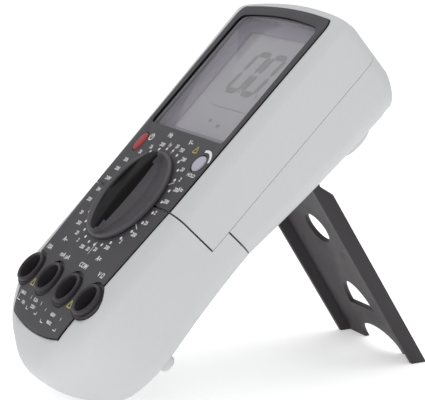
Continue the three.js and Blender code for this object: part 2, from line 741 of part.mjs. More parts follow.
for (const [side, screw] of mirrored(shellScrew)) addPart(meter, `shell_screw_${side}`, screw, FINISH.steel);
for (const [side, pad] of mirrored((sign) => rearPad(sign, UPPER_PAD))) {
  addPart(meter, `upper_pad_${side}`, pad, FINISH.housing);
}
for (const [side, pad] of mirrored((sign) => rearPad(sign, LOWER_PAD))) {
  addPart(meter, `lower_pad_${side}`, pad, FINISH.housing);
}

// The feet are cut to reach the table that the lower end of the housing rests on.
const lowest = outer.rotate([THREE.MathUtils.radToDeg(LEAN), 0, 0]).boundingBox().min[2];
const pivotHeight = PIVOT_Y * Math.sin(LEAN) + PIVOT_Z * Math.cos(LEAN) - lowest;
const stand = new THREE.Group();
stand.position.set(0, PIVOT_Y, PIVOT_Z);
stand.rotation.x = Math.PI - LEAN - LEG_SLOPE;
addPart(stand, 'tilt_stand', tiltStand(pivotHeight), FINISH.stand);
meter.add(stand);

// The origin is the middle of the footprint, on the table.
const model = new THREE.Group();
model.add(meter);
const bounds = new THREE.Box3().setFromObject(model, true);
const middle = bounds.getCenter(new THREE.Vector3());
model.position.set(-middle.x, -middle.y, -bounds.min.z);

export default model;
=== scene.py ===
# %% [markdown]
# # A bench multimeter on its tilt stand
# The measured parts arrive as a fixed frame. This lesson keeps their places and sizes and
# builds the surfaces that the eye sees: a moulded housing in three shells, a printed panel,
# a range knob, input sockets, a display behind a window, and a black folding stand.

# %% Load the frame
import json
import math

import bpy
from mathutils import Matrix, Vector

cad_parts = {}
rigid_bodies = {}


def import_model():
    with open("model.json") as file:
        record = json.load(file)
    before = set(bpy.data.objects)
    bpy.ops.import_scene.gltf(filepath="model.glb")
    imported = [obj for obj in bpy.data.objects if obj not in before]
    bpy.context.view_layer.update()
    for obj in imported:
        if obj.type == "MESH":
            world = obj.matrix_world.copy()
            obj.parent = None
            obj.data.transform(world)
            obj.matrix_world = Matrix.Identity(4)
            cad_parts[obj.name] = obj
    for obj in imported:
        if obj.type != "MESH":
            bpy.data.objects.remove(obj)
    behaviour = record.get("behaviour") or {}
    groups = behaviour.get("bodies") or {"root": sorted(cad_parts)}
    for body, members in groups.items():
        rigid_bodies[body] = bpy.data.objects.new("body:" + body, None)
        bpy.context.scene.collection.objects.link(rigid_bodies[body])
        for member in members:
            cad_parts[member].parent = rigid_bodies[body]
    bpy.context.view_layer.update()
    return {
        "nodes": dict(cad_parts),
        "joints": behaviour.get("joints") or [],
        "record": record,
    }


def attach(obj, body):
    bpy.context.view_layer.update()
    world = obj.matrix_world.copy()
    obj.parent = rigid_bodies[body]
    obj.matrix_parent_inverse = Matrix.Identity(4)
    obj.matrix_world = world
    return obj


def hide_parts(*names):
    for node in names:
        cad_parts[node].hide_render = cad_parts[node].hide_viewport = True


for leftover in list(bpy.data.objects):
    bpy.data.objects.remove(leftover)
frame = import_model()

# %% [markdown]
# ## One drawing board for a leaning object
# A meter is designed lying flat, so each piece is drawn in millimetres on a flat board: X across,
# Y up the length from the seam, and Z out of the panel. One matrix then shrinks a finished mesh to
# metres and leans it back. It acts on the mesh itself, so every object stays at the origin.

# %% The flat board
joints = {joint["name"]: joint for joint in frame["joints"]}
seam_centre = Vector(joints["range_turn"]["pos_m"])
stand_pivot = Vector(joints["stand_fold"]["pos_m"])
LEAN = math.radians(45)
STAND_OPEN = math.radians(joints["stand_fold"]["range_deg"][1])
TO_METRES = Matrix.Scale(0.001, 4)
METER_PLACE = Matrix.Translation(seam_centre) @ Matrix.Rotation(LEAN, 4, "X") @ TO_METRES
STAND_PLACE = Matrix.Translation(stand_pivot) @ Matrix.Rotation(LEAN + STAND_OPEN, 4, "X") @ TO_METRES
print("seam centre", tuple(round(value, 4) for value in seam_centre))

# %% [markdown]
# ## The camera
# A long lens a little over half a metre away looks down on the meter from its right side. It is
# placed from the middle of the seam, so it follows the object if the frame moves.

# %% The camera
bpy.ops.object.camera_add()
camera = bpy.context.object
camera.location = seam_centre + Vector((0.57465, -0.25941, 0.12923))
camera.rotation_euler = (math.radians(90 - 11.71), 0, math.radians(62.84))
camera.data.sensor_width = 36
camera.data.lens = 139.6
camera.data.clip_start = 0.01
bpy.context.scene.camera = camera

# %% [markdown]
# ## Small tools for modelling by hand
# An operator works on whatever is selected, so a piece is always chosen alone first. The other
# helpers are a modeller's habits: close the holes and turn the faces outwards, cut one solid with
# another, and take the edge off every sharp corner, because a moulded part has none.

# %% Helpers for choosing, closing, cutting and softening
def choose(piece):
    if bpy.context.mode != "OBJECT":
        bpy.ops.object.mode_set(mode="OBJECT")
    bpy.ops.object.select_all(action="DESELECT")
    piece.select_set(True)
    bpy.context.view_layer.objects.active = piece


def edit(piece, *steps):
    """Run edit-mode steps on the whole mesh."""
    choose(piece)
    bpy.ops.object.mode_set(mode="EDIT")
    for step in steps:
        bpy.ops.mesh.select_all(action="SELECT")
        step()
    bpy.ops.object.mode_set(mode="OBJECT")


def close_up(piece):
    edit(
        piece,
        lambda: bpy.ops.mesh.remove_doubles(threshold=0.001),
        lambda: bpy.ops.mesh.fill_holes(sides=0),
        lambda: bpy.ops.mesh.normals_make_consistent(inside=False),
    )
    return piece


def cut(piece, tool, how="DIFFERENCE", keep_tool=False):
    choose(piece)
    modifier = piece.modifiers.new("cut", "BOOLEAN")
    modifier.operation = how
    modifier.object = tool
    modifier.solver = "EXACT"
    bpy.ops.object.modifier_apply(modifier=modifier.name)
    if not keep_tool:
        bpy.data.objects.remove(tool)
    return piece


def soften(piece, width, segments=2, angle=38):
    """Round the sharp edges by a small width, then shade the rest smoothly."""
    choose(piece)
    if width:
        modifier = piece.modifiers.new("edges", "BEVEL")
        modifier.width = width
        modifier.segments = segments
        modifier.limit_method = "ANGLE"
        modifier.angle_limit = math.radians(angle)
        modifier.miter_outer = "MITER_ARC"
        bpy.ops.object.modifier_apply(modifier=modifier.name)
    bpy.ops.object.shade_smooth_by_angle(angle=math.radians(angle))
    return piece


def duplicate(piece, name):
    choose(piece)
    bpy.ops.object.duplicate()
    twin = bpy.context.object
    twin.name = name
    return twin


def merge(name, pieces):
    choose(pieces[0])
    for piece in pieces:
        piece.select_set(True)
    bpy.ops.object.join()
    pieces[0].name = name
    return pieces[0]


# %% [markdown]
# ## Three ways to start a piece
# A brick is a cube primitive stretched between two corners. A wrapped sheet is a grid primitive
# rolled round a form, ring by ring, which suits a hull or anything turned on a lathe. A raised
# outline wraps the sheet over copies of one outline at several heights, as extrude and inset do.

# %% Bricks, wrapped sheets and raised outlines
def brick(name, low, high):
    bpy.ops.object.select_all(action="DESELECT")
    centre = [(a + b) / 2 for a, b in zip(low, high)]
    bpy.ops.mesh.primitive_cube_add(size=1, location=centre, scale=[b - a for a, b in zip(low, high)])
    bpy.ops.object.transform_apply(location=True, rotation=False, scale=True)
    piece = bpy.context.object
    piece.name = name
    return piece


def wrapped_sheet(name, rows):
    """Roll a grid so that its rows follow the given rings of points, then close its ends."""
    around, along = len(rows[0]), len(rows) - 1
    bpy.ops.object.select_all(action="DESELECT")
    bpy.ops.mesh.primitive_grid_add(x_subdivisions=around, y_subdivisions=along, size=2)
    piece = bpy.context.object
    piece.name = name
    for vertex in piece.data.vertices:
        across = round((vertex.co.x + 1) / 2 * around) % around
        row = round((vertex.co.y + 1) / 2 * along)
        vertex.co = rows[row][across]
    return close_up(piece)


def turned(name, profile, centre=(0, 0), around=64):
    """A lathe form from (radius, height) points."""
    def ring(radius, height):
        angles = [2 * math.pi * i / around for i in range(around)]
        return [(centre[0] + radius * math.cos(a), centre[1] + radius * math.sin(a), height) for a in angles]
    return wrapped_sheet(name, [ring(radius, height) for radius, height in profile])


def raised(name, levels):
    """Carry an outline from level to level. Each level is (outline points, height)."""
    return wrapped_sheet(name, [[(x, y, height) for x, y in outline] for outline, height in levels])


def oval(centre, half_x, half_y, count=48):
    angles = [2 * math.pi * i / count for i in range(count)]
    return [(centre[0] + half_x * math.cos(a), centre[1] + half_y * math.sin(a)) for a in angles]


def rod(name, radius, low, high, centre=(0, 0), count=48):
    outline = oval(centre, radius, radius, count)
    return raised(name, [(outline, low), (outline, high)])


# %% [markdown]
# ## The housing's form
# The real case is moulded, so its form has no flat sketch to start from: it widens a little
# towards the top, its back dips at the waist, and its lower end is rounded like a river stone.
# Rules for width, front and back give a rounded section at each station of the length, and a
# sheet is wrapped over those sections. The same rules with an inset give the inner wall.

# %% Rules for the housing's form
TIP_Y, TOP_Y = -77, 106
TIP_DEPTH = 17
PARTING_Z = -21.5
FRONT_FALL, BACK_FALL = 0.12, 0.38  # how fast the upper end falls away from the parting line
STEP_Y = 9.6
WALL = 2.2


def clamp(value):
    return min(max(value, 0.0), 1.0)


def end_curve(y, start, power):
    return math.sqrt(1 - clamp((start - y) / (start - TIP_Y)) ** power)


def half_width(y):
    return (39.6 + 2.2 * clamp(y / 90)) * end_curve(y, -35, 2.6)


def front(y):
    return -TIP_DEPTH * (1 - end_curve(y, -42, 1.7))


def back(y):
    up = math.sin(clamp((y - 10) / 85) * math.pi / 2)
    down = clamp((10 - y) / 72) ** 2
    depth = 38 + 6 * up + 5 * down
    return -(TIP_DEPTH + (depth - TIP_DEPTH) * end_curve(y, -58, 2.2))


def housing_ring(y, inset, scale, wall):
    shrink = inset + wall
    half = max(half_width(y) - shrink, 0.4)
    near = front(y) - shrink
    far = min(back(y) + shrink, near - 0.8)
    end, top = clamp((-45 - y) / 32), clamp(y / 90)
    front_radius, back_radius = 6 + 8 * end - 2 * top, 9 + 8 * end
    fit = min(1, 0.95 * half / back_radius, 0.95 * (near - far) / (front_radius + back_radius))
    front_radius, back_radius = front_radius * fit, back_radius * fit
    outline = []

    def corner(side, start, radius, z):
        for step in range(9):
            angle = math.radians(start - 11.25 * step)
            outline.append((side * (half - radius) + radius * math.cos(angle), z + radius * math.sin(angle)))

    def straight(reach, z):
        outline.extend((step / 8 * reach, z) for step in range(-7, 8))

    corner(-1, 180, front_radius, near - front_radius)
    straight(half - front_radius, near)
    corner(1, 90, front_radius, near - front_radius)
    corner(1, 0, back_radius, far + back_radius)
    straight(back_radius - half, far)
    corner(-1, -90, back_radius, far + back_radius)
    crown = clamp((y - 80) / 20)
    crown = crown * crown * (3 - 2 * crown)
    along = TIP_Y + wall + (y - TIP_Y) * (TOP_Y - TIP_Y - 2 * wall) / (TOP_Y - TIP_Y)
    middle = (near + far) / 2
    ring = []
    for x, z in outline:
        x, z = scale * x, middle + scale * (z - middle)
        fall = FRONT_FALL if z > PARTING_Z else BACK_FALL
        drop = x * x / 400 + fall * abs(z - PARTING_Z)
        ring.append((x, along - crown * drop, z))
    return ring


def housing_solid(name, wall):
    tip = [(-35 - (-35 - TIP_Y) * math.sin(math.radians(angle)), 0, 1) for angle in range(86, 0, -5)]
    body = [(y, 0, 1) for y in (-35, -26, -17, -8, 1, 10, 18, 26, 34, 42, 50, 58, 66, 74, 80, 84, 88, 92, 96)]
    rim = 4.2
    turns = [math.radians(angle) for angle in range(0, 91, 15)]
    edge = [(TOP_Y - rim + rim * math.sin(turn), rim * (1 - math.cos(turn)), 1) for turn in turns]
    lid = [(TOP_Y, rim, scale) for scale in (0.85, 0.6, 0.35, 0.1)]
    rings = [housing_ring(*station, wall) for station in tip + body + edge + lid]
    return wrapped_sheet(name, rings)


outer = housing_solid("outer_form", 0)
inner = housing_solid("inner_form", WALL)
print("housing form", len(outer.data.polygons), "faces")

# %% [markdown]
# ## Outlines on the panel
# The printed plate and the display window share an arched upper edge. Quadratic curves draw
# them from a few corner points. Growing an outline a little gives the pocket it drops into.

# %% Outlines of the plates and the window
SEAM = 0.7
LABEL_HALF = 33.8
KNOB_HOLE = 9.2
WINDOW_LOW, WINDOW_HIGH, WINDOW_HALF = 33.3, 94.6, 31.3


def bend(start, control, end, count=12):
    points = []
    for step in range(count):
        t = step / count
        points.append(tuple(
            (1 - t) ** 2 * a + 2 * t * (1 - t) * b + t * t * c for a, b, c in zip(start, control, end)))
    return points


def arched_top(half, shoulder, crown):
    """From the left shoulder over the crown to the right shoulder."""
    left, right = (-half + 3.2, crown - 2), (half - 3.2, crown - 2)
    return (
        bend((-half, shoulder), (-half, crown - 2.6), left)
        + bend(left, (0, crown + 2), right, 24)
        + bend(right, (half, crown - 2.6), (half, shoulder))
        + [(half, shoulder)]
    )


def window_outline(grow):
    half, low = WINDOW_HALF + grow, WINDOW_LOW - grow
    sill = bend((half, low + 2), (half, low), (half - 2, low), 5)
    sill += [(half - 2, low), (-half + 2, low)]
    sill += bend((-half + 2, low), (-half, low), (-half, low + 2), 5)[1:] + [(-half, low + 2)]
    return arched_top(half, WINDOW_HIGH - 6.5 + grow, WINDOW_HIGH + grow) + sill


def upper_plate_outline(grow, low):
    half = LABEL_HALF + 1.9 + grow
    top = arched_top(half, 91 + grow, 99 + grow)
    return [(-LABEL_HALF - grow, low)] + top + [(LABEL_HALF + grow, low)]


def lower_plate_outline(grow, high):
    right = bend((31.4 + grow, -37), (30.6 + grow, -48), (23.2 + grow, -61.7 - grow))
    bottom = bend((23.2 + grow, -61.7 - grow), (0, -67 - grow), (-23.2 - grow, -61.7 - grow), 20)
    left = bend((-23.2 - grow, -61.7 - grow), (-30.6 - grow, -48), (-31.4 - grow, -37))
    sides = [(LABEL_HALF + grow, high)] + right + bottom + left
    return sides + [(-31.4 - grow, -37), (-LABEL_HALF - grow, high)]


def slab(name, outline, low, high):
    return raised(name, [(outline, low), (outline, high)])


# %% [markdown]
# ## Three hollow shells
# The case comes off the moulding machine as an upper front shell, an upper back shell and a lower
# shell that reaches round under the back. Cutting one hollow form with bricks keeps them flush at
# every seam. The pocket on the back, where the stand folds away, keeps its own walls.

# %% Hollow the form and cut the three shells
pocket_walls = brick("pocket_walls", (-31.8, -55.2, -60), (31.8, 58.2, -32.8))
hollow = cut(duplicate(outer, "hollow"), cut(inner, pocket_walls))
hollow = cut(hollow, brick("pocket", (-29.6, -53, -60), (29.6, 56, -35)))
trunnion_bore = rod("trunnion_bore", 2.15, -31.3, 31.3, count=24)
edit(trunnion_bore, lambda: bpy.ops.transform.rotate(
    value=math.pi / 2, orient_axis="Y", center_override=(0, 0, 0)))
for vertex in trunnion_bore.data.vertices:
    vertex.co += Vector((0, 50.5, -39))
hollow = cut(hollow, trunnion_bore)
PART = 0.09
front_zone = brick("front_zone", (-90, SEAM / 2, PARTING_Z + PART), (90, 120, 20))
rear_zone = brick("rear_zone", (-90, STEP_Y + SEAM / 2, -70), (90, 120, PARTING_Z - PART))
lower_zone = brick("lower_zone", (-90, -120, -70), (90, STEP_Y - SEAM / 2, 20))
upper_step = brick("upper_step", (-90, -SEAM / 2, PARTING_Z - PART), (90, 120, 30))
upper_front = cut(duplicate(hollow, "housing_upper_front"), front_zone, "INTERSECT")
upper_rear = cut(duplicate(hollow, "housing_upper_rear"), rear_zone, "INTERSECT")
lower = cut(cut(hollow, lower_zone, "INTERSECT"), upper_step)
lower.name = "housing_lower"

# %% [markdown]
# ## Pockets and openings
# The plates sit in shallow pockets that follow the case's surface, so the pocket tool is an
# outline with the offset housing taken out of it. The window, the knob, the two keys and the four
# sockets go right through.

# %% Cut the pockets and openings
JACK_Y = -44.1
JACK_X = (-28.5, -9.5, 9.5, 28.5)
POWER_AT = (-26.2, 23.2)
HOLD_AT = (27, 22.6)
PLATE_GAP = 0.4

below_plate = housing_solid("below_plate", 1.1)
upper_pocket = slab("upper_pocket", upper_plate_outline(PLATE_GAP, -3), -3, 10)
lower_pocket = slab("lower_pocket", lower_plate_outline(PLATE_GAP, 3), -22, 10)
upper_front = cut(upper_front, cut(upper_pocket, below_plate, keep_tool=True))
lower = cut(lower, cut(lower_pocket, below_plate))
upper_front = cut(upper_front, slab("window_cut", window_outline(1.0), -10, 10))
knob_cut = rod("knob_cut", KNOB_HOLE, -10, 10, count=64)
upper_front = cut(upper_front, knob_cut, keep_tool=True)
lower = cut(lower, knob_cut, keep_tool=True)
power_cut = slab("power_cut", oval(POWER_AT, 3.1, 4.9), -8, 8)
hold_cut = slab("hold_cut", oval(HOLD_AT, 4.1, 4.1), -8, 8)
for tool in (power_cut, hold_cut):
    upper_front = cut(upper_front, tool, keep_tool=True)
jack_profile = [(0.01, -12), (7.3, -12), (7.3, -1.9), (8.3, -1.9), (8.3, 8), (0.01, 8)]
jack_cuts = [turned("jack_cut", jack_profile, (x, JACK_Y)) for x in JACK_X]
for tool in jack_cuts:
    lower = cut(lower, tool, keep_tool=True)
REAR_SCREW = (36, 88)
SHELL_SCREW = (26.4, 5.4)
for side in (-1, 1):
    rear_at = (side * REAR_SCREW[0], REAR_SCREW[1])
    shell_at = (side * SHELL_SCREW[0], SHELL_SCREW[1])
    tube = rod("screw_tube", 5, -50, -31.4, rear_at)
    upper_rear = cut(upper_rear, cut(tube, outer, "INTERSECT", keep_tool=True), "UNION")
    upper_rear = cut(upper_rear, rod("screw_well", 3.2, -60, -34, rear_at))
    upper_rear = cut(upper_rear, rod("screw_hole", 1.7, -36, -20, rear_at))
    lower = cut(lower, rod("screw_well", 2.9, -40, -33.9, shell_at))
    lower = cut(lower, rod("screw_hole", 1.7, -36, -20, shell_at))
for shell in (upper_front, upper_rear, lower):
    soften(shell, 0.22)
print("shells", [len(shell.data.polygons) for shell in (upper_front, upper_rear, lower)])

# %% [markdown]
# ## The printed plates
# Each plate is a half millimetre skin of the case's own form inside its outline. The upper one
# turns down into a shallow sleeve around the window, whose walls carry a painted shadow, a near-black
# finish, as the thin black edge there.
# The plates stand proud of the case by a little less than their thickness.

# %% Make the two plates
plate_top = cut(duplicate(outer, "plate_top"), housing_solid("plate_under", 0.5))
outer_low = duplicate(plate_top, "plate_low")
upper_plate = cut(slab("upper_plate", upper_plate_outline(0, SEAM / 2), -3, 10), plate_top, "INTERSECT")
lower_plate = cut(slab("lower_plate", lower_plate_outline(0, -SEAM / 2), -22, 10), outer_low, "INTERSECT")
sleeve = slab("window_sleeve", window_outline(0.7), -1.2, -0.2)
upper_plate = cut(upper_plate, sleeve, "UNION")
upper_plate = cut(upper_plate, slab("window_opening", window_outline(0), -10, 10))
for tool in (power_cut, hold_cut):
    upper_plate = cut(upper_plate, tool)
upper_plate = cut(upper_plate, knob_cut, keep_tool=True)
lower_plate = cut(lower_plate, knob_cut)
for tool in jack_cuts:
    lower_plate = cut(lower_plate, tool)
PROUD = 0.4
for plate in (upper_plate, lower_plate):
    soften(plate, 0.1)
    plate.data.transform(Matrix.Translation((0, 0, PROUD)))
print("plates", [len(plate.data.polygons) for plate in (upper_plate, lower_plate)])

# %% [markdown]
# ## The display window
# A clear lens lies just below the panel, and looks down on a grey mask around the liquid crystal
# glass. The lens's colour is a painted reflection of the bright surround, and the mask and the glass
# are painted brighter, as painted light against the shade under the lens. The digits are seven bars
# each, cut at 45 degrees where they meet and leaning to the right.

# %% Make the lens and the digits
lens = raised("window_lens", [
    (window_outline(-0.4), -2.4), (window_outline(-0.3), -2.3),
    (window_outline(-0.3), -1.0), (window_outline(-0.4), -0.9)])
soften(lens, 0)
DIGIT_WIDE, DIGIT_HIGH, BAR, SLANT = 9.4, 19.4, 3, 0.18
LCD_FACE = -5.9


def bar(name, centre, length, upright, origin):
    half, thick = length / 2 - 0.25, BAR / 2
    outline = [(-half, 0), (-half + thick, thick), (half - thick, thick),
               (half, 0), (half - thick, -thick), (-half + thick, -thick)]
    if upright:
        outline = [(-b, a) for a, b in outline]
    placed = [(centre[0] + a, centre[1] + b) for a, b in outline]
    leaning = [(origin[0] + a + SLANT * b, origin[1] + b) for a, b in placed]
    return slab(name, leaning, LCD_FACE - 0.01, LCD_FACE + 0.04)


def digit(bars, x, y):
    half_high = DIGIT_HIGH / 2
    spots = {
        "top": ((DIGIT_WIDE / 2, DIGIT_HIGH), DIGIT_WIDE, False),
        "middle": ((DIGIT_WIDE / 2, half_high), DIGIT_WIDE, False),
        "bottom": ((DIGIT_WIDE / 2, 0), DIGIT_WIDE, False),
        "upper_left": ((0, half_high * 1.5), half_high, True),
        "upper_right": ((DIGIT_WIDE, half_high * 1.5), half_high, True),
        "lower_left": ((0, half_high / 2), half_high, True),
        "lower_right": ((DIGIT_WIDE, half_high / 2), half_high, True),
    }
    return [bar("bar", *spots[name], (x, y)) for name in bars]


ZERO = ("top", "bottom", "upper_left", "upper_right", "lower_left", "lower_right")
bars = digit(ZERO, -10, 60) + digit(ZERO, 2.6, 60)
MARKS = (
    (0.9, 60, 0.7, 0.7), (15.5, 60, 0.7, 0.7), (4, 51.5, 16, 0.25),
    (-2, 44.5, 1.2, 1), (6, 43, 1.6, 0.8),
)
for x, y, half_x, half_y in MARKS:
    bars.append(slab("mark", oval((x, y), half_x, half_y, 16), LCD_FACE - 0.01, LCD_FACE + 0.04))
digits = merge("display_digits", bars)
print("digits", len(digits.data.polygons), "faces")

# %% [markdown]
# ## The range knob
# The knob is a shallow dish with a raised rim and a tall leaf-shaped grip across it. Its flanks
# sweep out into the dish, and its crest falls towards both ends. The leaf is raised in levels that
# narrow upwards, then its crest is bowed and it is joined to the dish as one solid.

# %% Make the range knob
def leaf(half_length, half_wide):
    side, tip = 2 * half_wide - 3, half_length - 1.5
    return (
        bend((-3, -tip), (0, -tip - 3), (3, -tip), 8) + bend((3, -tip), (side, 0), (3, tip), 28)
        + bend((3, tip), (0, tip + 3), (-3, tip), 8) + bend((-3, tip), (-side, 0), (-3, -tip), 28)
    )


dish = turned("dish", [
    (0.01, -4.9), (8.4, -4.9), (8.4, 0.45), (20.9, 0.45), (21.4, 0.7), (21.6, 1.2), (21.6, 1.9),
    (21.4, 2.3), (21, 2.5), (20.4, 2.5), (19.8, 2.25), (18.6, 1.9), (15, 1.75), (0.01, 1.7)], around=120)
grip = raised("grip", [
    (leaf(20.3, 10.2), 1.2), (leaf(20.3, 9.8), 1.85), (leaf(20.2, 8.9), 2.6), (leaf(20.2, 8.1), 3.6),
    (leaf(20.1, 7.5), 4.9), (leaf(20, 7.1), 6.2), (leaf(19.9, 6.8), 7.1), (leaf(19.7, 6.5), 7.55),
    (leaf(19.2, 6), 7.85), (leaf(18, 5), 7.97), (leaf(16, 3.6), 8)])
for vertex in grip.data.vertices:
    rise = vertex.co.z - 2
    if rise > 0:
        vertex.co.z = 2 + rise * (0.42 + 0.58 * (1 - (vertex.co.y / 21) ** 2))
knob = cut(dish, grip, "UNION")
knob.name = "range_knob_cap"
soften(knob, 0, angle=50)

# %% [markdown]
# ## Two push keys
# Each key is a cap with a flange under the panel that keeps it from falling out, and a stem that
# reaches its switch. The levels follow the cap's soft shoulder.

# %% Make the push keys
def push_key(name, centre, half_x, half_y, top):
    steps = [
        (1.2, 1.2, -7.6), (1.2, 1.2, -4),
        (half_x + 1.1, half_y + 1.1, -4), (half_x + 1.1, half_y + 1.1, -3.1),
        (half_x, half_y, -3.1), (half_x, half_y, top - 0.8), (half_x - 0.1, half_y - 0.1, top - 0.5),
        (half_x - 0.35, half_y - 0.35, top - 0.22), (half_x - 0.8, half_y - 0.8, top - 0.08),
        (half_x * 0.45, half_y * 0.45, top)]
    key = raised(name, [(oval(centre, wide, high), z) for wide, high, z in steps])
    return soften(key, 0, angle=40)


power_key = push_key("power_key_cap", POWER_AT, 2.7, 4.5, 1.1)
hold_key = push_key("round_key_cap", HOLD_AT, 3.7, 3.7, 0.9)

# %% [markdown]
# ## Input sockets
# A shrouded socket keeps fingers off the metal: a collar with a deep ring-shaped well, and a post
# in the middle with the brass tube inside it. Its flange lies a little below the plate, which
# leaves the dark ring around each socket. One profile is turned on the lathe and repeated.

# %% Make the socket collars
collar_profile = [
    (7, -11.2), (7, -1.5), (8, -1.5), (8, -0.4), (7, -0.3), (6.95, 1), (6.8, 1.35), (6.5, 1.57), (6.2, 1.6),
    (5.9, 1.5), (5.65, 1.25), (5.5, 0.8), (5.5, -9.8), (3.9, -9.8), (3.9, -3.8), (3.75, -3.5),
    (3.5, -3.4), (3.15, -3.4), (3, -3.6), (3, -11.2), (7, -11.2)]
collars = [turned(f"socket_collar_{i + 1}", collar_profile, (x, JACK_Y)) for i, x in enumerate(JACK_X)]
for collar in collars:
    soften(collar, 0, angle=45)
print("collars", len(collars), "of", len(collars[0].data.polygons), "faces")

# %% [markdown]
# ## The tilt stand
# The stand is one moulding: a web with a flange down each edge, open towards the meter. It is drawn
# folded, as a side outline carried across the width. Then the channel and the openings are cut
# away, which leaves two ears at the top and two feet at the bottom.

# %% Make the tilt stand
STAND_HALF = 29
LEG_SLOPE = math.radians(58.3)
LEG_FRONT, LEG_BACK, STAND_WALL = 1.5, -4.5, 2
pivot_height = stand_pivot.z * 1000


def foot_at(z):
    return (pivot_height - z * math.cos(LEG_SLOPE)) / math.sin(LEG_SLOPE)


def ear_curve(radius, first, last, count=14):
    angles = [math.radians(first + (last - first) * i / (count - 1)) for i in range(count)]
    return [(radius * math.cos(angle), radius * math.sin(angle)) for angle in angles]


side_outline = [(foot_at(LEG_FRONT), LEG_FRONT), (6, LEG_FRONT + 0.6), (3, 2.4)]
side_outline += ear_curve(3, 60, 300) + [(7, -1.4), (13.3, LEG_BACK), (foot_at(LEG_BACK), LEG_BACK)]
stand = slab("stand_leg", side_outline, -STAND_HALF, STAND_HALF)
for vertex in stand.data.vertices:
    along, depth, across = vertex.co
    vertex.co = (across, -along, depth)
inside = STAND_HALF - STAND_WALL
stand = cut(stand, brick("channel", (-inside, -150, LEG_BACK + STAND_WALL), (inside, 10, 10)))
stand = cut(stand, brick("between_ears", (-inside, -13.3, -10), (inside, 10, 10)))
foot_y = -foot_at(LEG_BACK)
dome = [(9.2, foot_y + 23)] + [(9.2 * math.cos(math.radians(a)), foot_y + 23 + 14 * math.sin(math.radians(a)))
                                 for a in range(6, 180, 6)] + [(-9.2, foot_y + 23)]
arch_angles = [math.radians(a) for a in range(0, 181, 6)]
arch_curve = [(14.5 * math.cos(a), foot_y + 2 + 10.5 * math.sin(a)) for a in arch_angles]
arch = [(14.5, foot_y - 5)] + arch_curve + [(-14.5, foot_y - 5)]
for outline in (oval((0, foot_y + 66), 7.4, 7.4), dome, arch):
    stand = cut(stand, slab("opening", outline, -10, 10))
for side in (-1, 1):
    trunnion = rod("trunnion", 1.9, inside + 0.5, STAND_HALF + 1.3, count=32)
    for vertex in trunnion.data.vertices:
        vertex.co = (side * vertex.co.z, vertex.co.x, vertex.co.y)
    stand = cut(stand, close_up(trunnion), "UNION")
stand = soften(stand, 0.3)
stand.name = "stand_moulding"
print("stand", len(stand.data.polygons), "faces, leg", round(foot_at(0), 1), "mm")

# %% [markdown]
# ## Screws and brass tubes
# Pan head screws hold the shells, deep in their wells and in the floor of the stand's pocket. The
# cross recess is a pair of crossed bricks cut out of the head. The brass tubes in the sockets are
# turned, with a bevelled mouth that guides a plug.

# %% Make the screws and the tubes
def screw(name, at, head_radius, head_low, head_high):
    x, y = at
    head = raised(name, [
        (oval(at, 0.5 * head_radius, 0.5 * head_radius), head_low),
        (oval(at, 0.85 * head_radius, 0.85 * head_radius), head_low + 0.15),
        (oval(at, head_radius, head_radius), head_low + 0.6),
        (oval(at, head_radius, head_radius), head_high)])
    head = cut(head, rod("shank", 1.2, head_high - 0.4, -18, at, 24), "UNION")
    for long_x, long_y in ((0.6, 0.16), (0.16, 0.6)):
        reach = (long_x * head_radius, long_y * head_radius)
        low = (x - reach[0], y - reach[1], head_low - 1)
        high = (x + reach[0], y + reach[1], head_low + 1)
        blade = brick("blade", low, high)
        head = cut(head, blade)
    return soften(head, 0.06)


screws = {}
for label, side in (("left", -1), ("right", 1)):
    rear_at = (side * REAR_SCREW[0], REAR_SCREW[1])
    shell_at = (side * SHELL_SCREW[0], SHELL_SCREW[1])
    screws[f"rear_screw_{label}"] = screw(f"rear_fixing_{label}", rear_at, 2.9, -36.4, -34.3)
    screws[f"shell_screw_{label}"] = screw(f"shell_fixing_{label}", shell_at, 2.6, -35.6, -34.2)
tube_profile = [
    (0.01, -25), (2.7, -25), (2.7, -4.35), (2.6, -4.2), (2.25, -4.2), (2, -4.5), (2, -24), (0.01, -24)]
tubes = [turned(f"socket_tube_{i + 1}", tube_profile, (x, JACK_Y), 40) for i, x in enumerate(JACK_X)]
for tube in tubes:
    soften(tube, 0)
print("screws", sorted(screws), "tubes", len(tubes))

# %% [markdown]
# ## Moulded feet on the back
# Four shallow bumps in the case's own plastic keep its back off a bench when the stand is folded.
# Each is an oval raised in shrinking levels, so that it runs out softly at the top.

# %% Raise the feet
def moulded_foot(name, centre, half_x, half_y, height):
    skin = back(centre[1])
    levels = [(1, 2.5), (1, 0.1), (0.97, -0.35 * height), (0.9, -0.6 * height), (0.78, -0.8 * height),
              (0.6, -0.93 * height), (0.35, -0.99 * height), (0.12, -height)]
    rings = [(oval(centre, share * half_x, share * half_y), skin + rise) for share, rise in levels]
    foot = raised(name, rings)
    return soften(cut(foot, outer, keep_tool=True), 0)


feet = {}
for label, side in (("left", -1), ("right", 1)):
    feet[f"upper_pad_{label}"] = moulded_foot(f"upper_foot_{label}", (side * 31.6, 73), 3.6, 8, 2)
    feet[f"lower_pad_{label}"] = moulded_foot(f"lower_foot_{label}", (side * 32.6, -42), 2.6, 3.4, 2.2)
bpy.data.objects.remove(outer)
print("feet", sorted(feet))

# %% [markdown]
# ## Printing on the panel
# Screen printing lays down a film of ink. Each mark is a real sheet a few hundredths of a
# millimetre thick that follows the plate, down the curve of the lower end too, so it needs no
# picture. The knob turns through 28 clicks, so there are 28 dots around it.

# %% Print the dots, the numbers and the units
INK_LOW, INK_HIGH = -0.03, 0.025


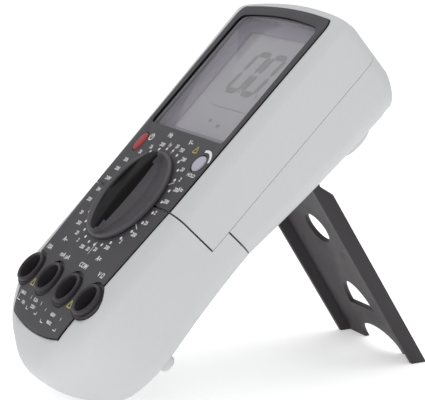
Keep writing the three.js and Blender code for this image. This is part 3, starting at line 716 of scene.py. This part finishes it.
def write(words, x, y, size=2.5):
    bpy.ops.object.select_all(action="DESELECT")
    bpy.ops.object.text_add()
    text = bpy.context.object
    text.data.body = words
    text.data.size = size
    text.data.align_x, text.data.align_y = "CENTER", "CENTER"
    text.data.extrude = (INK_HIGH - INK_LOW) / 2
    text.data.resolution_u = 3
    text.data.offset = 0.018 * size
    bpy.ops.object.convert(target="MESH")
    text = bpy.context.object
    text.data.transform(Matrix.Translation((x, y, (INK_LOW + INK_HIGH) / 2)))
    return text


def stroke(start, end, width):
    """A straight printed line between two points of the panel."""
    start, end = Vector(start), Vector(end)
    side = (end - start).normalized().orthogonal() * width / 2
    corners = [start - side, end - side, end + side, start + side]
    return slab("stroke", [tuple(corner) for corner in corners], INK_LOW, INK_HIGH)


def arc(centre, radius, width, first, last):
    angles = [math.radians(first + (last - first) * i / 20) for i in range(21)]
    wide, narrow = radius + width / 2, radius - width / 2
    outer_edge = [(centre[0] + wide * math.cos(a), centre[1] + wide * math.sin(a)) for a in angles]
    inner_edge = [(centre[0] + narrow * math.cos(a), centre[1] + narrow * math.sin(a)) for a in angles]
    outline = outer_edge + inner_edge[::-1]
    return slab("arc", outline, INK_LOW, INK_HIGH)


RANGES = 28
DOT_RING = 24.1
white_marks = []
for click in range(RANGES):
    angle = 2 * math.pi * (click + 0.5) / RANGES
    spot = (DOT_RING * math.cos(angle), DOT_RING * math.sin(angle))
    white_marks.append(slab("dot", oval(spot, 0.68, 0.68, 16), INK_LOW, INK_HIGH))
DIAL = [
    (-15, 22.5, "2k"), (-8.4, 25, "200"), (-2.7, 26.1, "1\u00b5"), (3.3, 26.3, "20"), (8.4, 25.4, "750"),
    (14.8, 22, "200"), (19.7, 17.9, "20"), (23.8, 13.8, "2"), (26.8, 9.3, "200"), (26.6, 3.4, "200"),
    (25.8, -2.3, "2"), (25.2, -7.6, "20"), (23.6, -13.7, "200"), (18.8, -18.3, "2"), (12.9, -22.9, "200"),
    (6.2, -25.6, "20"), (0.8, -26.8, "20"), (-4.5, -27, "200"), (-11.2, -25.4, "2"), (-16.3, -23, "20"),
    (-21, -19, "200"), (-25.6, -14.6, "20"), (-28, -8.2, "200"), (-27.6, -2.8, "2M"), (-27.4, 3.2, "20M"),
    (-26.6, 8.6, "200"), (-25.6, 13.5, "20k"), (-20, 18.9, "2k"),
]
white_marks += [write(words, x, y, 2.5) for x, y, words in DIAL]
white_marks += [write(words, x, y, 3.1) for x, y, words in (
    (-8.1, 30, "Hz"), (10.6, 29.6, "V~"), (-20.5, -27.4, "A~"), (13.9, -28.2, "A="), (29.6, 9.8, "V="))]
white_marks += [write(words, x, y, 3) for x, y, words in (
    (-27.6, -33.2, "10A"), (-11, -33.4, "mA \u00b5A"), (7.4, -33.4, "COM"), (24.2, -33.4, "V \u03a9"))]
white_marks.append(write("HOLD", 28.4, 16.9, 2.2))
print("marks", len(white_marks))

# %% [markdown]
# ## Small printed symbols
# A ring with a bar beside the power key, a band around the hold key, lines between the ranges, and
# brackets below the sockets. Two plain yellow triangles give the print its only colour.

# %% Print the symbols
white_marks += [
    arc((-20.9, 26.7), 1.5, 0.5, 120, 420), stroke((-20.9, 26.5), (-20.9, 28.5), 0.5),
    arc(HOLD_AT, 5.9, 1.2, 14, 112),
    stroke((19, -9.4), (22.4, -11.2), 0.3), stroke((18.8, 10.2), (21.6, 11.8), 0.3),
    stroke((3.4, -22.6), (3.6, -28.6), 0.3), stroke((-22, 10.4), (-19.6, 9.3), 0.3),
    stroke((2.4, 22.6), (3, 25), 0.3),
]
BRACKETS = (
    ((-24.4, -53.4), (-24.4, -57.4), (-21.6, -57.4)),
    ((-13.2, -53.4), (-13.2, -58.8), (-11.4, -58.8)),
    ((-2.6, -53.4), (-2.6, -58.8), (-4.6, -58.8)),
    ((3.4, -54.6), (3.4, -60), (5.8, -60)),
    ((18.6, -54.6), (18.6, -60), (16.2, -60)),
)
for start, middle, end in BRACKETS:
    white_marks += [stroke(start, middle, 0.32), stroke(middle, end, 0.32)]
for x, y, words in ((-21.4, -54.2, "MAX"), (-17.8, -57.4, "10A"), (-8.4, -54.2, "0.2A"), (-8, -57, "250V"),
                    (11, -55.4, "600V"), (11, -58.6, "MAX")):
    white_marks.append(write(words, x, y, 2))
yellow_marks = []
for x, y in ((18, 27.6), (-19, -48.6), (19, -48.6)):
    for start, end in (((-1.7, -1.4), (1.7, -1.4)), ((1.7, -1.4), (0, 1.6)), ((0, 1.6), (-1.7, -1.4))):
        yellow_marks.append(stroke((x + start[0], y + start[1]), (x + end[0], y + end[1]), 0.42))
white_print = merge("white_print", white_marks)
yellow_print = merge("yellow_print", yellow_marks)
for ink in (white_print, yellow_print):
    for vertex in ink.data.vertices:
        vertex.co.z += front(vertex.co.y) + PROUD
print("ink", len(white_print.data.polygons), len(yellow_print.data.polygons), "faces")

# %% [markdown]
# ## One recipe for moulded and printed surfaces
# Every surface here drifts a little in tone, carries a fine grain, and has shiny and dull places
# where hands have rubbed it. One recipe builds those layers from noise at three sizes, measured in
# object space, and each finish chooses how strong they are. Gloss settings that are even all over
# are set on the shader itself.

# %% The recipe for a finish
def linear(red, green, blue):
    return [((value / 255 + 0.055) / 1.055) ** 2.4 for value in (red, green, blue)] + [1]


def finish(name, colour, roughness, drift=0.04, grain=1500, bump=0.15, depth=0.00003, scuffs=0.05,
           stretch=(1, 1, 1), **settings):
    material = bpy.data.materials.new(name)
    material.use_nodes = True
    nodes, links = material.node_tree.nodes, material.node_tree.links
    shader = nodes["Principled BSDF"]
    mapping = nodes.new("ShaderNodeMapping")
    mapping.inputs["Scale"].default_value = stretch
    links.new(nodes.new("ShaderNodeTexCoord").outputs["Object"], mapping.inputs["Vector"])

    def noise(scale, detail, low, high, start=0.3, stop=0.7):
        """Noise of a given scale, spread from low to high."""
        texture, spread = nodes.new("ShaderNodeTexNoise"), nodes.new("ShaderNodeMapRange")
        texture.inputs["Scale"].default_value = scale
        texture.inputs["Detail"].default_value = detail
        links.new(mapping.outputs["Vector"], texture.inputs["Vector"])
        links.new(texture.outputs["Fac"], spread.inputs["Value"])
        for socket, value in zip(("From Min", "From Max", "To Min", "To Max"), (start, stop, low, high)):
            spread.inputs[socket].default_value = value
        return spread.outputs["Result"]

    def combine(how, first, second):
        node = nodes.new("ShaderNodeMath")
        node.operation = how
        links.new(first, node.inputs[0])
        links.new(second, node.inputs[1])
        return node.outputs["Value"]

    clouds = noise(22, 3, 1 - drift, 1 + drift)
    speckle = noise(grain, 2, 1 - drift, 1 + drift)
    rubbed = noise(160, 6, 0, scuffs, 0.58, 0.7)
    tone = combine("ADD", combine("MULTIPLY", clouds, speckle), rubbed)
    tint = nodes.new("ShaderNodeMix")
    tint.data_type, tint.blend_type = "RGBA", "MULTIPLY"
    tint.inputs["Factor"].default_value = 1
    tint.inputs["A"].default_value = linear(*colour)
    links.new(tone, tint.inputs["B"])
    links.new(tint.outputs["Result"], shader.inputs["Base Color"])
    patches = noise(45, 4, roughness - 0.05, roughness + 0.05)
    links.new(combine("ADD", patches, rubbed), shader.inputs["Roughness"])
    relief = nodes.new("ShaderNodeBump")
    relief.inputs["Strength"].default_value = bump
    relief.inputs["Distance"].default_value = depth
    links.new(noise(grain * 1.3, 3, 0, 1), relief.inputs["Height"])
    links.new(relief.outputs["Normal"], shader.inputs["Normal"])
    for socket, value in settings.items():
        shader.inputs[socket.replace("_", " ").title().replace("Ior", "IOR")].default_value = value
    return material


# %% [markdown]
# ## The finishes
# Light grey moulded case, dark printed plates, satin black mouldings, and the colours of the keys.
# The black ones get a low specular level, because their fine texture scatters most reflections.

# %% Mix the finishes
finishes = {
    "case_grey": finish("case_grey_satin", (203, 205, 206), 0.5, 0.012, 1500, 0.2, scuffs=0.01,
                        specular_ior_level=0.35),
    "panel_grey": finish("printed_plate", (65, 63, 68), 0.55, 0.05, 2200, 0.25, scuffs=0.06,
                         specular_ior_level=0.4),
    # The mask and the liquid crystal glass are painted far brighter than they are: painted light that cancels
    # the shade of the window walls and the lens above them.
    "mask_grey": finish("display_mask_painted_light", (178, 175, 184), 0.6, 0.02, 1500, 0.1, scuffs=0.01),
    "lcd": finish("lcd_glass_painted_light", (228, 228, 230), 0.35, 0.012, 2600, 0.05, scuffs=0.0,
                  coat_weight=0.2),
    "black_plastic": finish("satin_black", (50, 47, 50), 0.42, 0.08, 1600, 0.25, scuffs=0.12,
                            specular_ior_level=0.3),
    "stand_plastic": finish("stand_black", (50, 46, 49), 0.5, 0.06, 1100, 0.35, scuffs=0.1,
                            specular_ior_level=0.35),
    "red_plastic": finish("red_key", (158, 52, 50), 0.45, 0.05, 1800, 0.15),
    "pale_plastic": finish("pale_key", (178, 176, 188), 0.4, 0.025, 1800, 0.12, scuffs=0.03),
    "rubber_strip": finish("rubber", (48, 48, 50), 0.8, 0.08, 1300, 0.4, specular_ior_level=0.25),
    "brass": finish("turned_brass", (205, 172, 92), 0.28, 0.06, 900, 0.2, stretch=(1, 1, 12), metallic=1.0),
    "steel": finish("plated_steel", (188, 190, 194), 0.32, 0.05, 900, 0.2, metallic=1.0),
    "board_green": finish("solder_mask", (38, 96, 55), 0.35, 0.1, 600, 0.3, coat_weight=0.4),
    "fuse_ceramic": finish("fuse_tube", (226, 222, 212), 0.5, 0.03, 900, 0.1),
    "battery_wrap": finish("battery_jacket", (60, 84, 116), 0.35, 0.04, 700, 0.1, coat_weight=0.3),
}
# The lens's grey-lilac colour at 30 percent cover is a painted reflection: a veil standing for the bright
# surround mirrored in the window.
lens_painted_reflection = finish("window_painted_reflection", (160, 157, 166), 0.08, 0.02, 400, 0.02, scuffs=0.02, alpha=0.3)
# Near-black painted shadow for the plates' edge faces, standing for the dark gap round each plate.
plate_edge_painted_shadow = finish("plate_edge_painted_shadow", (16, 15, 17), 0.6, 0.08, 1800, 0.1, scuffs=0.03, specular_ior_level=0.15)
# The knob is one black moulding: its dish is painted lighter as painted light, and its top darker as painted
# shade.
grip_dish_painted_light = finish("grip_dish_painted_light", (82, 79, 84), 0.45, 0.08, 1600, 0.25, scuffs=0.1, specular_ior_level=0.3)
grip_top_painted_shade = finish("grip_top_painted_shade", (18, 16, 18), 0.5, 0.08, 1600, 0.25, scuffs=0.1, specular_ior_level=0.12)
white_ink = finish("white_ink", (226, 226, 228), 0.6, 0.06, 1800, 0.1)
yellow_ink = finish("yellow_ink", (186, 172, 84), 0.6, 0.08, 1800, 0.1)
digit_ink = finish("display_segment", (168, 169, 161), 0.4, 0.03, 1800, 0.05)
print("finishes", len(finishes) + 7)

# %% [markdown]
# ## Setting every piece in its place
# The board's matrix leans each finished piece into the frame, where it rides on the body it belongs
# to. Measured parts that keep their own mesh only take a finish. The plates get a painted shadow,
# a near-black finish on every edge face, and the grip gets painted light on its dish and painted
# shade on its top, so these get two finishes.

# %% Settle the pieces
def two_tone_painted_shade(piece, first, second, takes_second):
    """Give the faces that answer yes, by their centre and normal, the second finish. Here this paints shade
    and light by a face's direction or height.
    """
    for material in (first, second):
        piece.data.materials.append(material)
    for face in piece.data.polygons:
        face.material_index = int(takes_second(face.center, face.normal))


def settle(piece, place, body, slot, nodes=(), material=None):
    piece.data.transform(place)
    if not piece.data.materials:
        piece.data.materials.append(material or finishes[slot])
    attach(piece, body)
    if nodes:
        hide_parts(*nodes)


slot_names = {part["node"]: part["material_slot"] for part in frame["record"]["subparts"]}
for node_name, node in frame["nodes"].items():
    node.data.materials.clear()
    node.data.materials.append(finishes.get(slot_names[node_name], lens_painted_reflection))

# The edge faces of each plate take the near-black finish: a painted shadow for the dark gap around the plate.
for plate in (upper_plate, lower_plate):
    two_tone_painted_shade(plate, finishes["panel_grey"], plate_edge_painted_shadow, lambda centre, normal: normal.z < 0.5)
# Faces above 4.6 mm take the near-black finish: painted shade on the grip's top and painted light on the
# dish, lit and shaded copies of one black moulding.
two_tone_painted_shade(knob, grip_dish_painted_light, grip_top_painted_shade, lambda centre, normal: centre.z > 4.6)

settle(upper_front, METER_PLACE, "meter", "case_grey", ["upper_front_shell"])
settle(upper_rear, METER_PLACE, "meter", "case_grey", ["upper_rear_shell"])
settle(lower, METER_PLACE, "meter", "case_grey", ["lower_shell"])
settle(upper_plate, METER_PLACE, "meter", "panel_grey", ["upper_panel_plate"])
settle(lower_plate, METER_PLACE, "meter", "panel_grey", ["lower_panel_plate"])
settle(lens, METER_PLACE, "meter", "clear_lens", ["display_lens"], lens_painted_reflection)
settle(digits, METER_PLACE, "meter", "lcd", material=digit_ink)
settle(white_print, METER_PLACE, "meter", "panel_grey", material=white_ink)
settle(yellow_print, METER_PLACE, "meter", "panel_grey", material=yellow_ink)
settle(knob, METER_PLACE, "range_knob", "black_plastic", ["function_knob"])
settle(power_key, METER_PLACE, "power_key", "red_plastic", ["power_button"])
settle(hold_key, METER_PLACE, "hold_key", "pale_plastic", ["hold_button"])
settle(stand, STAND_PLACE, "stand", "stand_plastic", ["tilt_stand"])
for i, (collar, tube) in enumerate(zip(collars, tubes)):
    settle(collar, METER_PLACE, "meter", "black_plastic", [f"jack_collar_{i + 1}"])
    settle(tube, METER_PLACE, "meter", "brass", [f"jack_socket_{i + 1}"])
for node_name, piece in screws.items():
    settle(piece, METER_PLACE, "meter", "steel", [node_name])
for node_name, piece in feet.items():
    settle(piece, METER_PLACE, "meter", "case_grey", [node_name])

# %% [markdown]
# ## Floor and light
# A small object like this is lit as in a light tent: an even white surround, one large soft lamp
# overhead and a second one from the right, so that the case shows its form with hardly a shadow.

# %% Set the floor and the lamps
bpy.ops.object.select_all(action="DESELECT")
bpy.ops.mesh.primitive_plane_add(size=6, location=(0, 0, 0))
floor = bpy.context.object
floor.name = "floor"
paper = finish("paper", (250, 250, 250), 0.9, 0.004, 300, 0.02, scuffs=0.0)
paper.node_tree.nodes["Principled BSDF"].inputs["Emission Color"].default_value = (1, 1, 1, 1)
paper.node_tree.nodes["Principled BSDF"].inputs["Emission Strength"].default_value = 0.42
floor.data.materials.append(paper)

world = bpy.data.worlds.new("light_tent")
world.use_nodes = True
nodes, links = world.node_tree.nodes, world.node_tree.links
surround = nodes["Background"]
surround.inputs["Color"].default_value = (1, 1, 1, 1)
surround.inputs["Strength"].default_value = 0.68
backdrop = nodes.new("ShaderNodeBackground")
backdrop.inputs["Color"].default_value = (1, 1, 1, 1)
choice = nodes.new("ShaderNodeMixShader")
links.new(nodes.new("ShaderNodeLightPath").outputs["Is Camera Ray"], choice.inputs["Fac"])
links.new(surround.outputs["Background"], choice.inputs[1])
links.new(backdrop.outputs["Background"], choice.inputs[2])
links.new(choice.outputs["Shader"], nodes["World Output"].inputs["Surface"])
bpy.context.scene.world = world
bpy.context.scene.view_settings.view_transform = "Standard"


def lamp(name, place, size, power):
    bpy.ops.object.light_add(type="AREA", location=place)
    light = bpy.context.object
    light.name = name
    light.data.size = size
    light.data.energy = power
    light.rotation_euler = (seam_centre - Vector(place)).to_track_quat("-Z", "Y").to_euler()


lamp("overhead_lamp", (-0.15, 0.1, 1.1), 0.8, 2.4)
lamp("side_lamp", (0.8, -0.4, 0.7), 0.6, 0.6)
print("lamps set")
